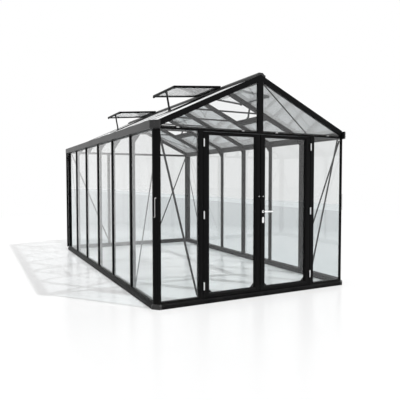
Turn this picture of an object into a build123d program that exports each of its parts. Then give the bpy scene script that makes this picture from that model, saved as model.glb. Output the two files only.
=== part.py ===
from build123d import *
from math import cos, radians, tan
import os

# A glazed garden greenhouse: six bays, gable roof, double door in the front gable wall.
# Millimetres. X runs to the right, Y to the back, Z up. The origin is the middle of the
# footprint at ground level, and the doors are in the wall that faces -Y.
# "inset" is a distance inwards from the outer line of the base.

# overall sizes
base_width = 2548.0
bay_pitch = 750.0
bay_count = 6
end_offset = 55.0           # from the end of the base to the middle of the gable frame
roof_pitch = 25.0
eave_height = 1869.0        # top plane of the roof bars at the outer line of the base

# base
sill_depth = 80.0
sill_face = 36.0            # upright part of the outer face
sill_shoulder = 50.0        # top of the sloping facet, and of the threshold
sill_top = 67.0
sill_flange_top = 71.0
threshold_stop = 62.0       # lip behind the doors
base_chamfer = 60.0

# glazing
frame_inset = 18.0          # outer face of posts and caps
glass_depth = 12.0          # glass behind that face
glass_thickness = 4.0
pane_gap = 10.0             # between two panes on one bar
web = 6.0

# posts and bars
post_chamfer = 50.0
post_face = 66.0
groove = 4.0
frame_depth = 62.0          # posts and heavy bars, behind the outer face
light_depth = 46.0
heavy_width = 40.0
light_width = 24.0
cap_width = 40.0
cap_chamfer = 4.0
bite = 14.0                 # how far a pane reaches into a post

# eaves and gutters
gutter_overhang = 18.0
gutter_drop = 56.0          # underside of the gutter, below the eave height
gutter_depth = 80.0
gutter_wall = 3.0
gutter_lip = 10.0
beam_drop = 62.0            # underside of the eaves beam, below the eave height
beam_inset = 71.0
pane_head = 10.0            # how far a side pane reaches up into the eaves beam
tie_drop = 58.0             # underside of the tie beams, below the eave height
tie_strip = 20.0
tie_height = 37.0
tie_depth = 62.0

# roof
roof_glass_depth = 6.0      # glass below the top plane
rafter_depth = 60.0
gable_rafter_width = 42.0
rafter_lap = 5.0            # how far its flange covers the roof pane
ridge_half = 20.0
ridge_drop = 86.0           # underside of the ridge beam, below the peak of the roof plane
ridge_shoulder = 62.0
shoulder_height = 25.0
ridge_cap_height = 20.0
ridge_flat = 26.0
king_width = 72.0
king_depth = 40.0
collar_drop = 297.0         # middle of the collar ties, below that peak
collar_cover = 26.0         # how deep under the roof's top plane the ends of a collar tie stay
collar_bar = 20.0
flat_bar = 4.0
gusset_drop = 179.0         # foot of a knee gusset, below the eave height
gusset_foot = 14.0
gusset_reach = 204.0        # inset of its tip under the rafter
gusset_seat = 38.0          # how deep under the roof's top plane its upper edge lies
brace_seat = 22.0           # from a side brace's head to the inner corner of the post
end_brace_head = 84.0       # inset of a gable wall brace's head
brace_head = 20.0           # from its head up to the beam
brace_foot = 14.0           # from its foot down to the sill
brace_width = 22.0
roof_brace_foot = 560.0     # from the front line of the base

# roof vents
vent_side_gap = 22.0        # from the bar lines to the sides of the sash
vent_rail = 24.0
vent_thickness = 26.0
vent_reach = 630.0
vent_fall = 0.085           # slope of the open sash
vent_seat = 10.0            # how far the sash reaches over the ridge cap's shoulder
vent_sill_inset = 612.0
stay_offset = 87.0
stay_width = 18.0

# back wall
mullion_offset = 470.0

# doors
door_post_outer = 765.0
hinge_line = 708.5
leaf_gap = 6.0              # between a leaf and its post or stop
post_rebate = 3.0           # from the hinge line to the face of the post's rebate
post_stop = 12.0            # how far the post reaches behind the leaf
leaf_foot_gap = 7.0         # over the threshold
leaf_head_gap = 6.0         # under the tie beam
leaf_depth = 36.0
stile_width = 65.0
bottom_rail = 47.0
top_rail = 29.0
bead_width = 14.0
leaf_glass_depth = 22.0
leaf_slot = 12.0
meeting_gap = 8.0
cover_strip = 46.0
cover_proud = 3.0
hinge_axis_proud = 10.0
hinge_above_foot = 129.0    # middle of the lowest hinge, from the bottom of the leaf
hinge_middle = 936.0
hinge_below_head = 115.0
hinge_height = 76.0
hinge_radius = 7.0
hinge_pin = 3.5
hinge_leaf = 2.0            # thickness of a hinge's plates, which lie in the gap
hinge_leaf_depth = 22.0
lever_height = 950.0
lever_reach = 130.0
lever_standoff = 36.0
lever_thickness = 13.0
lever_width = 19.0
corner_plate = 44.0
hook_along = 8.0            # from the chamfer's side edge
hook_top = 1122.0
hook_length = 196.0
hook_radius = 3.5

# everything below follows from the sizes above
base_length = bay_count * bay_pitch + 2 * end_offset
half_width = base_width / 2
half_length = base_length / 2
slope = tan(radians(roof_pitch))
per_slope = 1 / cos(radians(roof_pitch))
glass_outer = frame_inset + glass_depth
glass_inner = glass_outer + glass_thickness
frame_inner = frame_inset + frame_depth
corner_reach = frame_inset + post_face
beam_seat = glass_outer - 2
bar_lines = [-half_length + end_offset + bay_pitch * i for i in range(bay_count + 1)]
heavy_bars = {i for i in range(1, bay_count) if i % 2 == 1}
vent_bays = (1, bay_count - 2)
peak = eave_height + half_width * slope
gutter_bottom = eave_height - gutter_drop
gutter_top = gutter_bottom + gutter_depth
beam_bottom = eave_height - beam_drop
tie_bottom = eave_height - tie_drop
tie_top = tie_bottom + tie_height
ridge_bottom = peak - ridge_drop
collar_height = peak - collar_drop
leaf_bottom = sill_shoulder + leaf_foot_gap
leaf_top = tie_bottom - leaf_head_gap
hinge_heights = (leaf_bottom + hinge_above_foot, hinge_middle, leaf_top - hinge_below_head)


def roof_z(inset, depth=0.0):
    """Height of the plane that lies depth below the roof's top plane."""
    return eave_height + inset * slope - depth * per_slope


def inset_at(height, depth=0.0):
    """Inset where that plane reaches a height."""
    return (height - eave_height + depth * per_slope) / slope


def face_of(outline, holes=()):
    """A flat face from a closed outline, with holes cut out of it."""
    face = make_face(Polyline(*outline, close=True))
    for hole in holes:
        face -= make_face(Polyline(*hole, close=True))
    return face


def along_z(outline, low, high, holes=()):
    """Pull a plan outline of (x, y) points from one height to another."""
    return extrude(Plane.XY.offset(low) * face_of(outline, holes), high - low)


def along_y(outline, start, end, holes=()):
    """Pull an outline of (x, z) points from one y to another."""
    plane = Plane((0, end, 0), x_dir=(1, 0, 0), z_dir=(0, -1, 0))
    return extrude(plane * face_of(outline, holes), end - start)


def along_x(outline, start, end, holes=()):
    """Pull an outline of (y, z) points from one x to another."""
    plane = Plane((start, 0, 0), x_dir=(0, 1, 0), z_dir=(1, 0, 0))
    return extrude(plane * face_of(outline, holes), end - start)


def block(x0, x1, y0, y1, z0, z1):
    """A box between two corners."""
    return along_z([(x0, y0), (x1, y0), (x1, y1), (x0, y1)], z0, z1)


def to_left(points):
    """Turn (inset, height) points of the left side into (x, z) points."""
    return [(-half_width + inset, z) for inset, z in points]


def to_front(points):
    """Turn (inset, height) points of the front wall into (y, z) points."""
    return [(-half_length + inset, z) for inset, z in points]


def both_sides(shape):
    """A shape and its mirror image across the middle of the width."""
    return [shape, mirror(shape, about=Plane.YZ)]


def both_ends(shape):
    """A shape and its mirror image across the middle of the length."""
    return [shape, mirror(shape, about=Plane.XZ)]


def save(name, *shapes):
    """Write the solids of one node to its own file."""
    solids = [solid for shape in shapes for solid in shape.solids()]
    whole = solids[0] if len(solids) == 1 else Compound(solids)
    export_step(whole, f"parts/{name}.step")


def bar_width(i):
    """Width of the bar or rafter on bar line i."""
    return heavy_width if i in heavy_bars else light_width


def pane_span(i):
    """Where the pane of bay i starts and ends along the length."""
    low = bar_lines[i] + pane_gap / 2
    high = bar_lines[i + 1] - pane_gap / 2
    if i == 0:
        low = -half_length + corner_reach - bite
    if i == bay_count - 1:
        high = half_length - corner_reach + bite
    return low, high


# Base frame

def sill_outline():
    """Cross-section of the base: sloping facet, outer flange and glazing slot."""
    return [
        (0, 0),
        (0, sill_face),
        (frame_inset, sill_shoulder),
        (frame_inset, sill_flange_top),
        (glass_outer, sill_flange_top),
        (glass_outer, sill_top - 6),
        (glass_inner, sill_top - 6),
        (glass_inner, sill_top),
        (sill_depth, sill_top),
        (sill_depth, 0),
    ]


def side_sill():
    reach = half_length - corner_reach
    return along_y(to_left(sill_outline()), -reach, reach)


def end_sill():
    reach = half_width - corner_reach
    return along_x(to_front(sill_outline()), -reach, reach)


def front_sill():
    """Left piece of the front sill, from the corner to the door post."""
    return along_x(to_front(sill_outline()), -half_width + corner_reach, -door_post_outer)


def threshold():
    """Low sill under the doors, with the lip that their lower rails close against."""
    outline = [
        (0, 0), (0, sill_face), (frame_inset, sill_shoulder), (sill_depth, sill_shoulder), (sill_depth, 0),
    ]
    reach = hinge_line + post_rebate - post_stop
    stop = -half_length + leaf_back + leaf_gap
    lip = block(-reach, reach, stop, -half_length + sill_depth, sill_shoulder - 1, threshold_stop)
    return along_x(to_front(outline), -door_post_outer, door_post_outer) + lip


def corner_cap():
    """Moulded corner of the base, cut off at 45 degrees, with the facet carried round."""
    def ring(inset, chamfer):
        return [
            (inset + chamfer, inset),
            (corner_reach, inset),
            (corner_reach, sill_depth),
            (sill_depth, sill_depth),
            (sill_depth, corner_reach),
            (inset, corner_reach),
            (inset, inset + chamfer),
        ]

    def plan(points, height):
        moved = [(-half_width + x, -half_length + y) for x, y in points]
        return Plane.XY.offset(height) * face_of(moved)

    low = ring(0, base_chamfer)
    high = ring(frame_inset, post_chamfer)
    cap = extrude(plan(low, 0), sill_face)
    return cap + loft([plan(low, sill_face), plan(high, sill_shoulder)], ruled=True)


# Posts and wall bars

def corner_post():
    """Corner post: chamfered outer face with a centre groove, and two glazing slots."""
    mid = post_chamfer / 2
    reach = post_face
    slot = post_face - bite
    front = glass_depth
    back = glass_depth + glass_thickness
    inner = frame_depth
    side = 0.7071 * groove / 2
    deep = 0.7071 * 3
    outline = [
        (post_chamfer, 0), (reach, 0), (reach, front), (slot, front), (slot, back),
        (inner, back), (inner, 34), (34, inner), (back, inner),
        (back, slot), (front, slot), (front, reach), (0, reach), (0, post_chamfer),
        (mid - side, mid + side),
        (mid - side + deep, mid + side + deep),
        (mid + side + deep, mid - side + deep),
        (mid + side, mid - side),
    ]
    x0 = -half_width + frame_inset
    y0 = -half_length + frame_inset
    post = along_z([(x0 + x, y0 + y) for x, y in outline], sill_shoulder, tie_bottom)
    inside = -half_width + beam_inset
    beam_end = -half_length + end_offset
    post -= block(x0 - 1, inside, beam_end, y0 + 100, beam_bottom, tie_bottom + 1)
    return post - block(-half_width + beam_seat, inside, y0 + glass_depth, beam_end, beam_bottom, tie_bottom + 1)


def wall_bar(i):
    """Structural bar inside the side glass, with the web that parts two panes."""
    depth = frame_depth if i in heavy_bars else light_depth
    y = bar_lines[i]
    half = bar_width(i) / 2
    outline = [
        (glass_inner, -half),
        (frame_inset + depth, -half),
        (frame_inset + depth, half),
        (glass_inner, half),
        (glass_inner, web / 2),
        (glass_outer, web / 2),
        (glass_outer, -web / 2),
        (glass_inner, -web / 2),
    ]
    plan = [(-half_width + x, y + v) for x, v in outline]
    return along_z(plan, sill_top, beam_bottom)


def wall_cap(i):
    """Outer cover cap of a wall bar."""
    y = bar_lines[i]
    half = cap_width / 2
    outline = [
        (glass_outer, -half),
        (frame_inset + cap_chamfer, -half),
        (frame_inset, -half + cap_chamfer),
        (frame_inset, half - cap_chamfer),
        (frame_inset + cap_chamfer, half),
        (glass_outer, half),
    ]
    plan = [(-half_width + x, y + v) for x, v in outline]
    return along_z(plan, sill_flange_top, beam_bottom)


def wall_pane(i):
    low, high = pane_span(i)
    x = -half_width + glass_outer
    return block(x, x + glass_thickness, low, high, sill_top - 6, beam_bottom + pane_head)


def back_panes():
    """Three panes of the back wall, between the corner posts and the mullions."""
    edge = half_width - corner_reach + bite
    inner = mullion_offset
    y = half_length - glass_inner
    z1 = tie_bottom + tie_strip / 2 - 2
    spans = [
        (-edge, -inner - pane_gap / 2),
        (-inner + pane_gap / 2, inner - pane_gap / 2),
        (inner + pane_gap / 2, edge),
    ]
    return [block(a, b, y, y + glass_thickness, sill_top - 6, z1) for a, b in spans]


def mullion(x):
    """Back wall mullion: inner bar, web and outer cap in one."""
    half = heavy_width / 2
    outline = [
        (glass_inner, -half), (frame_inner, -half), (frame_inner, half), (glass_inner, half),
        (glass_inner, web / 2), (glass_outer, web / 2), (glass_outer, half),
        (frame_inset + cap_chamfer, half), (frame_inset, half - cap_chamfer),
        (frame_inset, -half + cap_chamfer), (frame_inset + cap_chamfer, -half),
        (glass_outer, -half), (glass_outer, -web / 2), (glass_inner, -web / 2),
    ]
    plan = [(x + v, half_length - y) for y, v in outline]
    bar = along_z(plan, sill_top, tie_bottom)
    y = half_length - glass_outer
    return bar - block(x - 50, x + 50, y, half_length, sill_top - 1, sill_flange_top)


# Eaves

def gutter():
    """Eaves beam and gutter in one section, as it is extruded."""
    floor = gutter_bottom + gutter_wall
    seat = beam_seat
    seat_depth = roof_glass_depth + glass_thickness
    outline = [
        (-gutter_overhang, gutter_bottom),
        (frame_inset, gutter_bottom),
        (frame_inset, beam_bottom),
        (glass_outer, beam_bottom),
        (glass_outer, beam_bottom + pane_head + 1),
        (glass_inner, beam_bottom + pane_head + 1),
        (glass_inner, beam_bottom),
        (beam_inset, beam_bottom),
        (beam_inset, roof_z(beam_inset, seat_depth)),
        (seat, roof_z(seat, seat_depth)),
        (seat, floor),
        (-gutter_overhang + gutter_wall, floor),
        (-gutter_overhang + gutter_wall, gutter_top - gutter_wall),
        (-gutter_overhang + gutter_lip, gutter_top - gutter_wall),
        (-gutter_overhang + gutter_lip, gutter_top),
        (-gutter_overhang, gutter_top),
    ]
    reach = half_length - end_offset
    whole = along_y(to_left(outline), -reach, reach)
    head = to_left([
        (seat, beam_bottom),
        (beam_inset, beam_bottom),
        (beam_inset, roof_z(beam_inset, seat_depth)),
        (seat, roof_z(seat, seat_depth)),
    ])
    pane = block(
        -half_width + corner_reach - bite - 1, -half_width + beam_inset + 1,
        -half_length + glass_outer - 1, -half_length + glass_inner + 1,
        beam_bottom - 1, tie_bottom + tie_strip / 2,
    )
    low = along_y(head, -half_length + glass_outer, -reach) - pane
    return whole + low + mirror(low, about=Plane.XZ)


def gutter_end():
    """Moulded end of the gutter, cut off at 45 degrees like the post below it."""
    out = -gutter_overhang
    far = end_offset
    chamfer = post_chamfer + 21
    plan = [
        (out + chamfer, out),
        (beam_inset, out),
        (beam_inset, frame_inset),
        (beam_inset - 1, far),
        (out, far),
        (out, out + chamfer),
    ]
    moved = [(-half_width + x, -half_length + y) for x, y in plan]
    cap = along_z(moved, gutter_bottom, gutter_top)
    seat = beam_seat
    trim = to_left([
        (seat, gutter_bottom - 1), (beam_inset + 1, gutter_bottom - 1),
        (beam_inset + 1, gutter_top + 1), (seat, gutter_top + 1),
    ])
    return cap - along_y(trim, -half_length + frame_inset, -half_length + far + 1)


def tie_beam():
    """Beam between the eaves across a gable wall, with the strip that covers both panes."""
    middle = tie_bottom + tie_strip / 2
    outline = [
        (frame_inset, tie_bottom),
        (glass_outer, tie_bottom),
        (glass_outer, middle - 2),
        (glass_inner, middle - 2),
        (glass_inner, tie_bottom),
        (frame_inset + tie_depth, tie_bottom),
        (frame_inset + tie_depth, tie_top),
        (glass_inner, tie_top),
        (glass_inner, middle + 2),
        (glass_outer, middle + 2),
        (glass_outer, tie_bottom + tie_strip),
        (frame_inset, tie_bottom + tie_strip),
    ]
    reach = half_width - beam_inset
    beam = along_x(to_front(outline), -reach, reach)
    near = beam_inset - 1
    far = inset_at(tie_top + 20, rafter_depth)
    over = to_left([
        (near, roof_z(near, rafter_depth)),
        (far, roof_z(far, rafter_depth)),
        (near, roof_z(far, rafter_depth)),
    ])
    wedge = along_y(over, -half_length, -half_length + sill_depth + 20)
    for piece in both_sides(wedge):
        beam -= piece
    return beam


# Roof

def rafter(i):
    """Roof bar under the glass on the left slope, from the eaves beam to the ridge."""
    y = bar_lines[i]
    half = bar_width(i) / 2
    under = roof_glass_depth + glass_thickness
    top_inset = half_width - ridge_half
    body = to_left([
        (beam_inset, roof_z(beam_inset, under)),
        (top_inset, roof_z(top_inset, under)),
        (top_inset, roof_z(top_inset, rafter_depth)),
        (beam_inset, roof_z(beam_inset, rafter_depth)),
    ])
    fin = to_left([
        (beam_inset, roof_z(beam_inset, roof_glass_depth)),
        (top_inset, roof_z(top_inset, roof_glass_depth)),
        (top_inset, roof_z(top_inset, under)),
        (beam_inset, roof_z(beam_inset, under)),
    ])
    return along_y(body, y - half, y + half) + along_y(fin, y - web / 2, y + web / 2)


def roof_cap(i):
    """Outer cover cap of a roof bar, from over the gutter to the ridge cap."""
    y = bar_lines[i]
    half = cap_width / 2
    low, high = frame_inset, half_width - ridge_shoulder
    outline = to_left([
        (low, roof_z(low)),
        (high, roof_z(high)),
        (high, roof_z(high, roof_glass_depth)),
        (low, roof_z(low, roof_glass_depth)),
    ])
    return along_y(outline, y - half, y + half)


def roof_pane(i):
    """Pane of one bay of the left slope, stopped at the vent sill where a vent opens."""
    low, high = pane_span(i)
    end = half_length - frame_inset - gable_rafter_width + rafter_lap
    if i == 0:
        low = -end
    if i == bay_count - 1:
        high = end
    top_inset = half_width - ridge_half
    if i in vent_bays:
        top_inset = vent_sill_inset + 13
    under = roof_glass_depth + glass_thickness
    outline = to_left([
        (frame_inset, roof_z(frame_inset, roof_glass_depth)),
        (top_inset, roof_z(top_inset, roof_glass_depth)),
        (top_inset, roof_z(top_inset, under)),
        (frame_inset, roof_z(frame_inset, under)),
    ])
    return along_y(outline, low, high)


def gable_rafter():
    """C-shaped edge rafter that holds the roof pane and the gable pane."""
    near = frame_inset
    far = frame_inset + gable_rafter_width
    under = roof_glass_depth + glass_thickness
    slot = far - rafter_lap
    mouth = rafter_depth - bite
    high = half_width

    def strip(v0, v1, n0, n1):
        side = to_left([
            (beam_inset, roof_z(beam_inset, n0)),
            (high, roof_z(high, n0)),
            (high, roof_z(high, n1)),
            (beam_inset, roof_z(beam_inset, n1)),
        ])
        return along_y(side, -half_length + v0, -half_length + v1)

    return (
        strip(near, glass_outer, 0, rafter_depth)
        + strip(near, glass_inner, 0, mouth)
        + strip(near, far, 0, roof_glass_depth)
        + strip(near, slot, 0, mouth)
        + strip(glass_inner, far, under, rafter_depth)
    )


def ridge_beam():
    seat = half_width - ridge_half
    under = roof_glass_depth + glass_thickness
    outline = [
        (-ridge_half, ridge_bottom),
        (ridge_half, ridge_bottom),
        (ridge_half, roof_z(seat, under)),
        (0, roof_z(half_width, under)),
        (-ridge_half, roof_z(seat, under)),
    ]
    reach = half_length - frame_inset - gable_rafter_width
    return along_y(outline, -reach, reach)


def ridge_cap():
    """Folded cap over the ridge, with upright shoulders that the vents hinge on."""
    shoulder = ridge_shoulder
    low = roof_z(half_width - shoulder)
    high = low + shoulder_height
    top = peak + ridge_cap_height
    seat = shoulder - vent_seat
    seat_top = high + vent_seat * vent_fall
    outline = [
        (-shoulder, low), (-shoulder, high), (-seat, seat_top), (-ridge_flat, top),
        (ridge_flat, top), (seat, seat_top), (shoulder, high), (shoulder, low), (0, peak),
    ]
    reach = half_length - frame_inset
    return along_y(outline, -reach, reach)


def king_post():
    """Post from the tie beam to the peak of the gable, with a slot each side."""
    half = king_width / 2

    def plate(width, low, v0, v1):
        top = roof_z(half_width - width, rafter_depth)
        outline = [
            (-width, low), (width, low), (width, top),
            (0, roof_z(half_width, rafter_depth)), (-width, top),
        ]
        return along_y(outline, -half_length + v0, -half_length + v1)

    return (
        plate(half, tie_bottom + tie_strip, frame_inset, glass_outer)
        + plate(half - bite, tie_top, frame_inset, glass_inner + 1)
        + plate(half - 6, tie_top, glass_inner, frame_inset + king_depth)
    )


def gable_pane():
    """Left pane of a gable triangle."""
    low = tie_bottom + tie_strip / 2 + 2
    near = beam_inset
    far = half_width - king_width / 2 + bite
    mouth = rafter_depth - bite
    outline = to_left([
        (near, low),
        (far, low),
        (far, roof_z(far, mouth)),
        (near, roof_z(near, mouth)),
    ])
    return along_y(outline, -half_length + glass_outer, -half_length + glass_inner)


def collar_tie(i):
    """Flat bar across the roof, fixed to the side of a pair of rafters."""
    y = bar_lines[i] - bar_width(i) / 2
    low = collar_height - collar_bar / 2
    high = collar_height + collar_bar / 2
    half_low = half_width - inset_at(low, collar_cover)
    half_high = half_width - inset_at(high, collar_cover)
    outline = [(-half_low, low), (half_low, low), (half_high, high), (-half_high, high)]
    return along_y(outline, y - flat_bar, y)


def knee_gusset(i):
    """Plate in the corner between a wall bar and its rafter."""
    y = bar_lines[i] - bar_width(i) / 2
    near = glass_inner + 6
    far = beam_inset + 4
    foot = eave_height - gusset_drop
    outline = to_left([
        (near, foot), (near + gusset_foot, foot),
        (gusset_reach, roof_z(gusset_reach, gusset_seat)), (far, roof_z(far, gusset_seat)),
        (far, beam_bottom - 1), (near, beam_bottom - 1),
    ])
    return along_y(outline, y - flat_bar, y)


# Bracing

def strut(start, end, width):
    """Outline of a flat bar between two points, widened evenly about its centre line."""
    line = Vector(end[0] - start[0], end[1] - start[1]).normalized()
    side = Vector(-line.Y, line.X) * (width / 2)
    return [
        (start[0] + side.X, start[1] + side.Y),
        (end[0] + side.X, end[1] + side.Y),
        (end[0] - side.X, end[1] - side.Y),
        (start[0] - side.X, start[1] - side.Y),
    ]


def side_brace():
    """Brace of an end bay of the side wall, on the inner faces of post and bar."""
    top = (-half_length + frame_inner - brace_seat, beam_bottom - brace_head)
    foot = (bar_lines[1], sill_top + brace_foot)
    x = -half_width + frame_inner
    return along_x(strut(top, foot, brace_width), x, x + flat_bar)


def end_brace(foot_x):
    """Brace of a gable wall, from the tie beam beside the corner post to the foot at foot_x."""
    top = (-half_width + end_brace_head, tie_bottom + 7)
    foot = (foot_x, sill_top + brace_foot)
    y = -half_length + frame_inner
    return along_y(strut(top, foot, brace_width), y, y + flat_bar)


def roof_brace(foot_y):
    """Brace under the rafters of an end bay, from the ridge at the gable to the eaves."""
    top = (-40.0, -half_length + frame_inset + gable_rafter_width - 14)
    foot = (-half_width + beam_inset + 14, foot_y)
    plan = strut(top, foot, brace_width)
    tall = along_z(plan, beam_bottom, peak)
    low, high = beam_inset + 2, half_width - ridge_half
    layer = to_left([
        (low, roof_z(low, rafter_depth)),
        (high, roof_z(high, rafter_depth)),
        (high, roof_z(high, rafter_depth + flat_bar)),
        (low, roof_z(low, rafter_depth + flat_bar)),
    ])
    return tall & along_y(layer, -half_length, half_length)


# Roof vents, fixed open

def vent_line(reach, drop=0.0):
    """Height of the open sash at a distance from the ridge's shoulder."""
    hinge = roof_z(half_width - ridge_shoulder) + shoulder_height + vent_thickness
    return hinge - reach * vent_fall - drop


def sash_strip(near, far, low, high, drop_top=0.0, thickness=vent_thickness):
    """A length of the left sash between two reaches and two y values."""
    outline = [
        (-ridge_shoulder - near, vent_line(near, drop_top)),
        (-ridge_shoulder - near, vent_line(near, drop_top + thickness)),
        (-ridge_shoulder - far, vent_line(far, drop_top + thickness)),
        (-ridge_shoulder - far, vent_line(far, drop_top)),
    ]
    return along_y(outline, low, high)


def vent_span(i):
    return bar_lines[i] + vent_side_gap, bar_lines[i + 1] - vent_side_gap


def vent_side_rails(i):
    low, high = vent_span(i)
    return [
        sash_strip(-vent_seat, vent_reach, low, low + vent_rail),
        sash_strip(-vent_seat, vent_reach, high - vent_rail, high),
    ]


def vent_cross_rails(i):
    low, high = vent_span(i)
    low, high = low + vent_rail, high - vent_rail
    return [
        sash_strip(-vent_seat, vent_rail, low, high),
        sash_strip(vent_reach - vent_rail, vent_reach, low, high),
    ]


def vent_pane(i):
    low, high = vent_span(i)
    return sash_strip(
        vent_rail, vent_reach - vent_rail, low + vent_rail, high - vent_rail,
        vent_thickness / 2, glass_thickness,
    )


def vent_sill(i):
    """Cross bar that ends the lower pane and carries the stay."""
    low = bar_lines[i] + bar_width(i) / 2
    high = bar_lines[i + 1] - bar_width(i + 1) / 2
    under = roof_glass_depth + glass_thickness
    near, far = vent_sill_inset, vent_sill_inset + 40
    nose = near + 13
    body = to_left([
        (near, roof_z(near, under)), (far, roof_z(far, under)),
        (far, roof_z(far, rafter_depth - 8)), (near, roof_z(near, rafter_depth - 8)),
    ])
    lip = to_left([
        (nose, roof_z(nose)), (far, roof_z(far)),
        (far, roof_z(far, under)), (nose, roof_z(nose, under)),
    ])
    edge = cap_width / 2
    return along_y(body, low, high) + along_y(lip, bar_lines[i] + edge, bar_lines[i + 1] - edge)


def vent_stay(i, offset):
    """Bar that holds the sash open, from the sill to the free rail."""
    foot = vent_sill_inset + 26
    reach = vent_reach - vent_rail / 2
    half = stay_width / 2
    head = -ridge_shoulder - reach
    rise = vent_fall * half
    outline = [
        (-half_width + foot - half, roof_z(foot - half)),
        (-half_width + foot + half, roof_z(foot + half)),
        (head + half, vent_line(reach, vent_thickness) + rise),
        (head - half, vent_line(reach, vent_thickness) - rise),
    ]
    y = (bar_lines[i] + bar_lines[i + 1]) / 2 + offset
    return along_y(outline, y - stay_width / 2, y + stay_width / 2)


# Doors

leaf_back = frame_inset + leaf_depth
leaf_front_y = -half_length + frame_inset
leaf_edge = hinge_line + post_rebate - leaf_gap
left_leaf = (-leaf_edge, -meeting_gap / 2)
right_leaf = (meeting_gap / 2, leaf_edge)


def door_post():
    """Left door post: glazing slot on one side, rebate and stop on the other."""
    edge = hinge_line + post_rebate
    stop = leaf_back + leaf_gap
    outline = [
        (door_post_outer, frame_inset), (edge, frame_inset), (edge, stop),
        (edge - post_stop, stop), (edge - post_stop, frame_inner), (door_post_outer - 4, frame_inner),
        (door_post_outer - 4, glass_inner), (door_post_outer - bite, glass_inner),
        (door_post_outer - bite, glass_outer), (door_post_outer, glass_outer),
    ]
    plan = [(-x, -half_length + y) for x, y in outline]
    post = along_z(plan, sill_shoulder, tie_bottom)
    return post


def side_light():
    """Pane between the left corner post and the left door post."""
    x0 = -half_width + corner_reach - bite
    x1 = -door_post_outer + bite
    y = -half_length + glass_outer
    return block(x0, x1, y, y + glass_thickness, sill_top - 6, tie_bottom + tie_strip / 2 - 2)


def leaf_section(width):
    """Section of a leaf bar: (across, depth), bead bevelled towards the glass."""
    slot = width - leaf_slot
    glass_back = leaf_glass_depth + glass_thickness
    return [
        (0, 0), (width - bead_width, 0), (width, 8),
        (width, leaf_glass_depth), (slot, leaf_glass_depth), (slot, glass_back), (width, glass_back),
        (width, leaf_depth), (0, leaf_depth),
    ]


def leaf_frame(x0, x1):
    """Stiles and rails of one leaf, mitred at the corners of the glass."""
    z0, z1 = leaf_bottom, leaf_top
    y = leaf_front_y
    x2, x3 = x0 + stile_width, x1 - stile_width
    z2, z3 = z0 + bottom_rail, z1 - top_rail

    def mitre(points):
        return along_y(points, y - 10, y + leaf_depth + 10)

    stile = leaf_section(stile_width)
    left = along_z([(x0 + a, y + b) for a, b in stile], z0, z1)
    right = along_z([(x1 - a, y + b) for a, b in stile], z0, z1)
    bottom = along_x([(y + b, z0 + a) for a, b in leaf_section(bottom_rail)], x0, x1)
    top = along_x([(y + b, z1 - a) for a, b in leaf_section(top_rail)], x0, x1)
    left &= mitre([(x0, z0), (x2 - bottom_rail, z0), (x2, z2), (x2, z3), (x2 - top_rail, z1), (x0, z1)])
    right &= mitre([(x1, z0), (x3 + bottom_rail, z0), (x3, z2), (x3, z3), (x3 + top_rail, z1), (x1, z1)])
    bottom &= mitre([(x2 - bottom_rail, z0), (x3 + bottom_rail, z0), (x3, z2), (x2, z2)])
    top &= mitre([(x2 - top_rail, z1), (x3 + top_rail, z1), (x3, z3), (x2, z3)])
    return left, right, bottom, top


def leaf_pane(x0, x1):
    side = stile_width - leaf_slot
    low = leaf_bottom + bottom_rail - leaf_slot
    high = leaf_top - top_rail + leaf_slot
    y = leaf_front_y + leaf_glass_depth
    return block(x0 + side, x1 - side, y, y + glass_thickness, low, high)


def corner_plates(x0, x1):
    """Triangles behind the lower corners of a leaf's glass."""
    y0 = leaf_front_y + leaf_glass_depth + glass_thickness
    y1 = leaf_front_y + leaf_depth
    z = leaf_bottom + bottom_rail
    plates = []
    for x, way in ((x0 + stile_width, 1), (x1 - stile_width, -1)):
        outline = [(x, z), (x + way * corner_plate, z), (x, z + corner_plate)]
        plates.append(along_y(outline, y0, y1))
    return plates


def hinge_halves(x, way, height):
    """Post half with its pin, and leaf half bored for it; way points to the leaf."""
    y = leaf_front_y - hinge_axis_proud
    half = hinge_height / 2
    back = leaf_front_y + hinge_leaf_depth
    low = Plane((x, y, height - half))
    high = Plane((x, y, height + 0.5))
    knuckle = low * Cylinder(hinge_radius, half, align=(Align.CENTER, Align.CENTER, Align.MIN))
    pin = low * Cylinder(hinge_pin, hinge_height - 4, align=(Align.CENTER, Align.CENTER, Align.MIN))
    post_x = x - way * post_rebate
    post_plate = block(*sorted((post_x, post_x + way * hinge_leaf)), y, back, height - half, height)
    fixed = knuckle + post_plate + pin
    moving = high * Cylinder(hinge_radius, half - 0.5, align=(Align.CENTER, Align.CENTER, Align.MIN))
    leaf_x = x - way * post_rebate + way * leaf_gap
    leaf_plate = block(*sorted((leaf_x, leaf_x - way * hinge_leaf)), y, back, height + 0.5, height + half)
    moving += leaf_plate
    moving -= high * Cylinder(hinge_pin + 0.05, half, align=(Align.CENTER, Align.CENTER, Align.MIN))
    return fixed, moving


def cover(way):
    """Proud strip on the meeting stile; way is -1 on the left leaf and 1 on the right leaf."""
    x0, x1 = sorted((way * meeting_gap / 2, way * (meeting_gap / 2 + cover_strip)))
    y0, y1 = leaf_front_y - cover_proud, leaf_front_y
    outline = [(x0, y1), (x0 + 2, y0), (x1 - 2, y0), (x1, y1)]
    return along_z(outline, leaf_bottom, leaf_top)


lever_x = meeting_gap / 2 + cover_strip * 0.64
outer_face = leaf_front_y - cover_proud
inner_face = leaf_front_y + leaf_depth
neck_radius = 8.0
spindle_radius = 5.0
rose_radius = 15.0
rose_thickness = 6.0


def disc(radius, y0, y1, z=lever_height):
    """A round piece on the line of the lever's spindle."""
    plane = Plane((lever_x, y1, z), x_dir=(1, 0, 0), z_dir=(0, -1, 0))
    return extrude(plane * Circle(radius), y1 - y0)


def rose(y0, y1):
    return disc(rose_radius, y0, y1) - disc(neck_radius + 0.1, y0 - 1, y1 + 1)


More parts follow.
